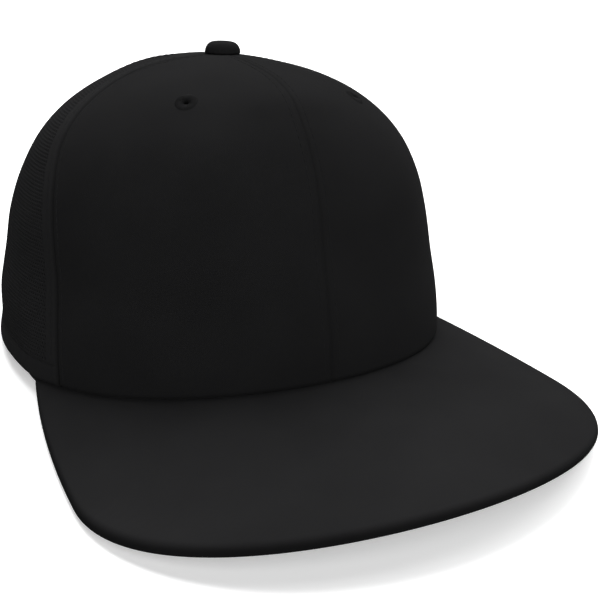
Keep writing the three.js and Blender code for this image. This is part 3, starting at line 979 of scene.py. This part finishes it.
def net(gore):
    """The mesh between the panel's borders: a honeycomb of six-sided holes in a thin sheet."""
    step = MESH_PITCH * math.sqrt(3) / 2
    rows = np.arange(1, int(gore.length / step))
    half = int(gore.widths.max() / MESH_PITCH / 2) + 1
    columns = np.arange(-half, half + 1)
    j, i = np.meshgrid(rows, columns, indexing="ij")
    p = (i + 0.5 * (j % 2)) * MESH_PITCH
    q = j * step
    width = gore.width(q)
    keep = (np.abs(p) < width / 2 - MESH_BORDER + MESH_PITCH / 2) & (q > HEM_STITCH)
    keep &= width > NET_NARROW
    p, q = p[keep], q[keep]
    where = crown_point(*gore.place(0.5 + p / gore.width(q), q))
    keep = arch_distance(where) > BINDING_WIDTH / 2
    p, q = p[keep], q[keep]
    shape = on_circle(math.pi / 6 + full_turn(6))
    cell = np.stack([p, q], -1)[:, None] + shape * MESH_PITCH / math.sqrt(3)
    hole = np.stack([p, q], -1)[:, None] + shape * MESH_HOLE
    keys, index = np.unique(np.round(cell.reshape(-1, 2), 3), axis=0, return_inverse=True)
    index = index.reshape(-1, 6)
    flat = np.concatenate([keys, hole.reshape(-1, 2)])
    inner_index = len(keys) + np.arange(len(p) * 6).reshape(-1, 6)
    angle, row = gore.place(0.5 + flat[:, 0] / gore.width(flat[:, 1]), flat[:, 1])
    wave = unevenness(crown_point(angle, row))
    count = len(flat)
    rounding = np.where(np.arange(count) < len(keys), 0, MESH_BAR_ROUNDING)
    top = wall_point(angle, row, MESH_SINK + rounding - wave)
    bottom = wall_point(angle, row, MESH_SINK + MESH_SHEET - rounding - wave)
    a, b = index, np.roll(index, -1, 1)
    c, d = inner_index, np.roll(inner_index, -1, 1)
    upper = np.stack([a, b, d, c], -1).reshape(-1, 4)
    lower = np.stack([b, a, c, d], -1).reshape(-1, 4) + count
    walls = edge_walls(upper, count)
    points = np.concatenate([top, bottom])
    faces = np.concatenate([upper, lower, walls])
    return outward(points, faces, np.pad(np.concatenate([flat, flat]), ((0, 0), (0, 1))))


def mesh_panel(name, gore):
    outer, inner, flat, from_edge, way, width = cloth_panel(gore, BORDER_WALL, hem=True)
    away = arch_distance(centres(outer))
    border = (centres(from_edge) < MESH_BORDER) | (centres(way) < HEM_TOP) | (centres(width) < MESH_NARROW)
    sheet = thick_sheet(outer, inner, flat, border & (away > BINDING_WIDTH / 2))
    make_piece(f"{name}_mesh", [sheet, net(gore)], mesh_cloth, [name], sharp=40)


GORES = {}
for side, hand in (("right", -1), ("left", 1)):
    GORES["front_panel", side] = Gore("front", "side", hand)
    front_panel(side, hand, GORES["front_panel", side])
    for name, seams in (("side_panel", ("side", "rear")), ("back_panel", ("rear", "back"))):
        GORES[name, side] = Gore(*seams, hand)
        mesh_panel(f"{name}_{side}", GORES[name, side])


# Bill

def bill_piece():
    """The peak: flat cloth faces over a stiffener, closed by a rolled edge with its seam under it."""
    path, walked = bill_outline()
    share = np.linspace(-1, 1, BILL_STATIONS + 1)
    hand = np.where(share < 0, -1, 1)
    start = wall_point(share * math.radians(BILL_CORNER_ANGLE), BASE_ROW, BILL_UNDER_WALL)[:, :2]
    end = at_ways(np.abs(share), walked, path)
    end[:, 0] *= hand
    length = np.linalg.norm(end - start, axis=1)[:, None]
    ahead = (end - start) / length
    radius = BILL_THICKNESS / 2
    edge = np.minimum(radius, BILL_EDGE_SHARE * length)
    across = np.linspace(0, 1, BILL_COLUMNS + 1)[:-1]
    turn = np.linspace(0, math.pi, BILL_EDGE_STEPS + 1)
    seam = EDGE_SEAM_DEPTH * hump(turn, math.radians(EDGE_SEAM_TURN), math.radians(EDGE_SEAM_WIDTH))
    round_way = length - edge + (edge - seam * edge / radius) * np.sin(turn)
    way = np.concatenate([(length - edge) * across, round_way, (length - edge) * across[::-1]], axis=1)
    flat_drop = np.zeros(BILL_COLUMNS)
    round_drop = radius - (radius - seam) * np.cos(turn)
    drop = np.concatenate([flat_drop, round_drop, flat_drop + BILL_THICKNESS])
    place = start[:, None] + ahead[:, None] * way[..., None]
    x, y = place[..., 0], place[..., 1]
    z = bill_top(x, y) - drop
    rings = np.stack([x, y, z], -1)
    # Painted shade on the bill: none on the top face, growing round the rolled edge, full on the underside
    rolled = np.concatenate([flat_drop, smoothstep(turn, BILL_FADE_FROM, BILL_FADE_TO), flat_drop + 1])
    flat = np.stack([x, y - 2 * np.minimum(drop, radius), np.broadcast_to(rolled, x.shape)], -1)
    make_piece("bill_cloth_cover", [closed_tube(rings, flat)], bill_cloth, ["bill"])


# Small parts

def lathe(profile, sides):
    """A closed solid turned round the Z axis from a profile of radius and height."""
    profile = np.array(profile, float)
    steps = np.linalg.norm(np.diff(profile, axis=0), axis=1)
    from_top = np.append(np.cumsum(steps[::-1])[::-1], 0)[:, None]
    round_about = on_circle(full_turn(sides))
    height = np.repeat(profile[:, 1:], sides, 1)[..., None]
    rings = np.concatenate([profile[:, :1, None] * round_about, height], -1)
    return closed_tube(rings, from_top[..., None] * round_about)


def moved(part, centre, beside, along, out):
    points, faces, uvs = part
    return centre + points @ np.stack([beside, along, out]), faces, uvs


def top_button():
    """The cloth-covered button, gathered under its rim."""
    rise = np.radians(np.linspace(-BUTTON_UNDER, BUTTON_TOP, BUTTON_RINGS))
    under = rise < 0
    radius = BUTTON_RADIUS * np.cos(rise) ** np.where(under, BUTTON_UNDER_FULLNESS, BUTTON_FULLNESS)
    dome = BUTTON_HEIGHT + GAP - BUTTON_GIRTH_AT
    height = BUTTON_GIRTH_AT + np.where(under, BUTTON_UNDER_DROP, dome) * np.sin(rise)
    profile = [(STEM_RADIUS, -STEM_LENGTH), (STEM_RADIUS, STEM_TOP)] + list(zip(radius, height))
    points, faces, uvs = lathe(profile, BUTTON_SIDES)
    turn = np.arctan2(points[:, 1], points[:, 0])
    low = 1 - smoothstep(points[:, 2], BUTTON_GATHER_FROM, BUTTON_GATHER_TO)
    points[:, :2] *= (1 + BUTTON_GATHER_DEPTH * low * np.cos(BUTTON_GATHERS * turn))[:, None]
    part = points + (0, TOP_LEAN, CROWN_HEIGHT), faces, uvs
    make_piece("top_button_cover", [part], front_cloth, ["top_button"])


def eyelet(side, hand):
    """A vent ring of satin stitches laid side by side round the hole."""
    turn = full_turn(EYELET_STITCHES * EYELET_STEPS)
    section = full_turn(EYELET_SIDES)
    ridge = np.abs(np.cos(EYELET_STITCHES / 2 * turn)) ** EYELET_RIDGE_POWER
    uneven = 1 + sum(height * np.sin(waves * turn + start) for height, waves, start in EYELET_RIPPLES)
    half = (EYELET_RADIUS - EYELET_HOLE) / 2 - EYELET_RIDGE * (1 - ridge * uneven)
    rise = EYELET_THICKNESS / 2 - EYELET_RIDGE_RISE * (1 - ridge)
    reach = (EYELET_RADIUS + EYELET_HOLE) / 2 + half[:, None] * np.cos(section)
    x, y = reach * np.cos(turn)[:, None], reach * np.sin(turn)[:, None]
    ring_part = closed_ring(np.stack([x, y, rise[:, None] * np.sin(section)], -1))
    parts = [moved(ring_part, *eyelet_frame(hand))]
    make_piece(f"eyelet_{side}_ring", parts, eyelet_thread, [f"eyelet_{side}"])


def band_place(angle, up, depth):
    """A place on the sweatband: up runs from its lower edge to its upper edge."""
    base = wall_point(angle, BASE_ROW, depth)
    drop = smoothstep(np.abs(angle), math.radians(BILL_CORNER_ANGLE), math.radians(RIM_LEVEL_ANGLE))
    bottom = rim_height(angle, base[..., 0], base[..., 1]) + lerp(-BILL_THICKNESS, GAP, drop)
    z = lerp(bottom, RIM_HEIGHT + BAND_HEIGHT, up)
    point = wall_point(angle, row_at_height(z), depth)
    point[..., 2] = z
    return point


def edge_round(across, width, radius):
    """How far a rounded sheet's face lies below its middle, at a distance across it."""
    inside = np.clip(np.minimum(across, width - across) / radius, 0, 1)
    return radius * (1 - np.sqrt(1 - (1 - inside) ** 2))


def crowded(steps, width, fine=(0, 0.08, 0.22, 0.42, 0.7)):
    """Distances across a strip that are finest along its two edges."""
    fine = np.array(fine)
    middle = np.linspace(fine[-1], width - fine[-1], steps)[1:-1]
    return np.concatenate([fine, middle, width - fine[::-1]])


def sweatband():
    """The band inside the rim, folded over and stitched along its upper edge."""
    across = np.linspace(-1, 1, BAND_COLUMNS + 1)[None, :]
    height = crowded(BAND_ROWS, BAND_HEIGHT)[:, None]
    up = height / BAND_HEIGHT
    angle = across * math.radians(BAND_END_ANGLE)
    dip = BAND_DIP * hump(height, BAND_HEIGHT - BAND_STITCH, BAND_DIP_WIDTH)
    wave = BAND_WAVES * np.sin(angle * BAND_WAVE_RATE + 1) * np.sin(height / BAND_WAVE_HEIGHT)
    wave = wave + BAND_PUCKER * np.sin(angle * BAND_PUCKER_RATE)
    thin = edge_round(height, BAND_HEIGHT, BAND_EDGE)
    outer = band_place(angle, up, BAND_DEPTH + thin + 0 * angle)
    inner = band_place(angle, up, BAND_DEPTH + BAND_THICKNESS - thin - dip + wave)
    sheet = thick_sheet(inner, outer, np.stack(np.broadcast_arrays(angle * HALF_WIDTH, height), -1))
    make_piece("sweatband_cloth", [sheet], band_cloth, ["sweatband"])


def arch_point(share, margin):
    """The arch's outline, grown sideways and upward by a margin, from its right foot to its left."""
    radius = ARCH_HALF_WIDTH + np.asarray(margin, float)
    foot = table_height(REST_CORNER) + GAP
    leg = ARCH_LEG_TOP - foot
    bow = math.pi * radius
    walked = share * (bow + 2 * leg)
    turn = np.clip((walked - leg) / radius, 0, math.pi)
    x = -radius * np.cos(turn)
    rise = ARCH_LEG_TOP + radius * np.sin(turn)
    down = np.maximum(leg - walked, 0) + np.maximum(walked - leg - bow, 0)
    return x, rise - down


def arch_binding():
    """Tape folded over the cut edge of the arch and sewn down through both of its sides."""
    share = np.linspace(0, 1, ARCH_STEPS + 1)[None, :]
    across = crowded(BINDING_ROWS, BINDING_WIDTH)[:, None]
    x, z = arch_point(share, across)
    dip = BINDING_DIP * sum(hump(across, row, BINDING_DIP_WIDTH) for row in BINDING_STITCHES)
    middle = BINDING_WIDTH / 2
    thin = np.where(across < middle, edge_round(across, 2 * BINDING_WIDTH, BINDING_FOLD), 0)
    thin = thin + edge_round(np.maximum(across, middle), BINDING_WIDTH, BINDING_EDGE) / 2
    ripple = BINDING_RIPPLE * np.sin(share * BINDING_RIPPLE_RATE)
    outer = back_point(x, z, -BINDING_PROUD + thin + dip + ripple)
    inner = back_point(x, z, BINDING_INSIDE - thin - dip + ripple)
    sheet = thick_sheet(outer, inner, np.stack(np.broadcast_arrays(share * ARCH_LENGTH, across), -1))
    make_piece("arch_binding_tape", [sheet], tape_cloth, ["arch_binding"])


def strap_sheet(x_from, x_to, columns, half_height, depth, thickness, round_from=None):
    """A strip of the strap with rounded edges and the spare hole through it."""
    x = lerp(x_from, x_to, np.linspace(0, 1, columns + 1))[None, :]
    share = (x - x_from) / (x_to - x_from)
    across = crowded(STRAP_ROWS, 2 * half_height)[:, None]
    half = half_height
    if round_from:
        past = np.maximum(0, (share - round_from) / (1 - round_from))
        half = half_height * np.sqrt(1 - LAP_ROUNDING * past**2)
    x, z = np.broadcast_arrays(x, STRAP_MIDDLE + (across / half_height - 1) * half)
    thin = edge_round(across, 2 * half_height, STRAP_EDGE) + 0 * x
    outer = back_point(x, z, depth + thin)
    inner = back_point(x, z, depth + thickness - thin)
    mask = np.hypot(centres(x) - SPARE_HOLE, centres(z) - STRAP_MIDDLE) > SPARE_HOLE_RADIUS + EYE_WALL
    return thick_sheet(outer, inner, np.stack([x, z], -1), mask)


def strap_frame(x, depth):
    centre = back_point(x, STRAP_MIDDLE, depth)
    return frame_at(centre, unit(centre - back_point(x, STRAP_MIDDLE, depth + 1)))


def rim(inner, outer, low, high):
    """A moulded rim with a rounded section."""
    section = full_turn(RIM_STEPS)
    turn = full_turn(RIM_SIDES)[:, None]
    reach = (inner + outer) / 2 + (outer - inner) / 2 * np.cos(section)
    height = (low + high) / 2 + (high - low) / 2 * np.sin(section) + 0 * turn
    return closed_ring(np.stack([reach * np.cos(turn), reach * np.sin(turn), height], -1))


def snap_strap():
    """The fastened strap: a studded strip under a holed one, moulded as the solids have it."""
    strip = STRAP_HALF_LENGTH, STRAP_COLUMNS, STRAP_HEIGHT / 2, STRAP_DEPTH, STRAP_THICKNESS
    lap = LAP_COLUMNS, STRAP_HEIGHT / 2 - LAP_MARGIN, LAP_DEPTH, LAP_THICKNESS + STRAP_THICKNESS / 2
    parts = [
        strap_sheet(-STRAP_HALF_LENGTH, *strip),
        strap_sheet(LAP_FROM, LAP_TO, *lap, round_from=LAP_ROUND_FROM),
        moved(rim(**HOLE_RIM), *strap_frame(SPARE_HOLE, LAP_DEPTH)),
    ]
    for i in range(STUD_COUNT):
        x = FIRST_STUD + i * STUD_PITCH
        lapped = x < LAP_TO
        frame_here = strap_frame(x, LAP_DEPTH if lapped else STRAP_DEPTH)
        parts.append(moved(lathe(STUD_OUTLINE, STUD_SIDES), *frame_here))
        if lapped:
            parts.append(moved(rim(**STUD_RIM), *frame_here))
    make_piece("snap_strap_moulding", parts, strap_plastic, ["snap_strap"], sharp=35)


# Stitches

def clear_of_arch(angle, row):
    """The points of a stitch line that keep clear of the arch, and the directions out of the cloth."""
    points = wall_point(angle, row, STITCH_DIP)
    keep = arch_distance(points) > BINDING_WIDTH + STITCH_CLEAR
    return points[keep], crown_normal(angle, row)[keep]


def seam_row(gore, from_start, way_from):
    """A line beside one of a gore's seams."""
    ways = np.linspace(way_from, gore.length, STITCH_PATH)
    ways = ways[gore.width(ways) > STITCH_NARROW]
    share = TOPSTITCH / gore.width(ways)
    angle, row = gore.place(share if from_start else 1 - share, ways)
    return clear_of_arch(angle, row)


def hem_row(gore):
    angle, row = gore.place(np.linspace(0, 1, HEM_PATH), np.full(HEM_PATH, HEM_STITCH))
    return clear_of_arch(angle, row)


def crown_stitches():
    rows = []
    for (name, _), gore in GORES.items():
        start = FRONT_STITCH_START if name == "front_panel" else HEM_TOP
        for from_start in (True, False):
            rows += stitch_row(*seam_row(gore, from_start, start))
        if name != "front_panel":
            rows += stitch_row(*hem_row(gore))
    make_piece("crown_stitches", rows, sewing_thread)


def trim_stitches():
    rows = []
    share = np.linspace(0, 1, STITCH_PATH)
    for margin in BINDING_STITCHES:
        x, z = arch_point(share, margin)
        out = back_point(x, z, 0.0) - back_point(x, z, 1.0)
        rows += stitch_row(back_point(x, z, STITCH_SINK - BINDING_PROUD), out)
        rows += stitch_row(back_point(x, z, BINDING_INSIDE - STITCH_SINK), -out)
    angle = np.linspace(-1, 1, BAND_PATH) * math.radians(BAND_END_ANGLE)
    depth = BAND_DEPTH + BAND_THICKNESS - BAND_STITCH_SINK
    line = band_place(angle, 1 - BAND_STITCH / BAND_HEIGHT, depth)
    rows += stitch_row(line, -crown_normal(angle, row_at_height(line[:, 2])))
    make_piece("trim_stitches", rows, sewing_thread)


for side, hand in (("right", -1), ("left", 1)):
    eyelet(side, hand)
bill_piece()
top_button()
sweatband()
arch_binding()
snap_strap()
crown_stitches()
trim_stitches()


# Camera

def from_round(azimuth, elevation):
    """The direction toward a place round the cap, from its azimuth and elevation in degrees."""
    a, e = math.radians(azimuth), math.radians(elevation)
    return np.array([math.sin(a) * math.cos(e), -math.cos(a) * math.cos(e), math.sin(e)])


def rotated(vector, axis, degrees):
    turn = math.radians(degrees)
    across = np.cross(axis, vector)
    return vector * math.cos(turn) + across * math.sin(turn) + axis * (axis @ vector) * (1 - math.cos(turn))


def add_camera():
    back = from_round(VIEW_AZIMUTH, VIEW_ELEVATION)
    ahead = -back
    right = unit(np.cross(ahead, (0, 0, 1)))
    up = np.cross(right, ahead)
    ahead, right = rotated(ahead, up, VIEW_PAN), rotated(right, up, VIEW_PAN)
    ahead, up = rotated(ahead, right, VIEW_TILT), rotated(up, right, VIEW_TILT)
    right, up = rotated(right, ahead, VIEW_ROLL), rotated(up, ahead, VIEW_ROLL)
    lens = bpy.data.cameras.new("camera")
    lens.sensor_width = SENSOR_MM
    lens.lens = FOCAL_PIXELS / IMAGE_PIXELS * SENSOR_MM
    lens.clip_start = CLIP_START
    axes = TURN @ np.stack([right, up, -ahead], 1)
    place = to_rest(np.array(VIEW_TARGET) + back * VIEW_DISTANCE)
    bpy.context.scene.camera = add_placed("camera", lens, axes, place)


# Floor and light

def add_floor():
    """A wide, plain white floor, lit from below. It throws less light up at the cap than it shows."""
    values = {"Roughness": 0.95, "Specular IOR Level": 0.1, "Emission Color": (1, 1, 1, 1)}
    material, shader, nodes, links = new_material("floor", values)
    seen = nodes.new("ShaderNodeLightPath").outputs["Is Camera Ray"]
    links.new(span(nodes, links, seen, FLOOR_BOUNCE, FLOOR_TONE), shader.inputs["Base Color"])
    links.new(span(nodes, links, seen, 0.0, FLOOR_GLOW), shader.inputs["Emission Strength"])
    edge = np.pad(FLOOR_RADIUS * on_circle(full_turn(FLOOR_SIDES)), ((0, 0), (0, 1)))
    mesh = bpy.data.meshes.new("floor")
    mesh.from_pydata(edge.tolist(), [], [list(range(FLOOR_SIDES))])
    mesh.materials.append(material)
    floor = add_object("floor", mesh)


def add_sun(name, azimuth, elevation, strength, spread):
    """Soft light from a wide round source, from an azimuth measured as the camera's is."""
    back = from_round(azimuth, elevation)
    right = unit(np.cross((0, 1, 0), back))
    light = bpy.data.lights.new(name, "SUN")
    light.energy = strength
    light.angle = math.radians(spread)
    add_placed(name, light, np.stack([right, np.cross(back, right), back], 1))


def add_world():
    """A dim world, white where the camera sees it."""
    world = bpy.data.worlds.new("studio")
    world.use_nodes = True
    nodes, links = world.node_tree.nodes, world.node_tree.links
    seen = nodes.new("ShaderNodeLightPath").outputs["Is Camera Ray"]
    nodes["Background"].inputs["Color"].default_value = (1, 1, 1, 1)
    links.new(span(nodes, links, seen, WORLD_STRENGTH, 1.0), nodes["Background"].inputs["Strength"])
    bpy.context.scene.world = world
    bpy.context.scene.view_settings.view_transform = "Standard"


add_camera()
add_floor()
for name, light in LIGHTS.items():
    add_sun(name, **light)
add_world()
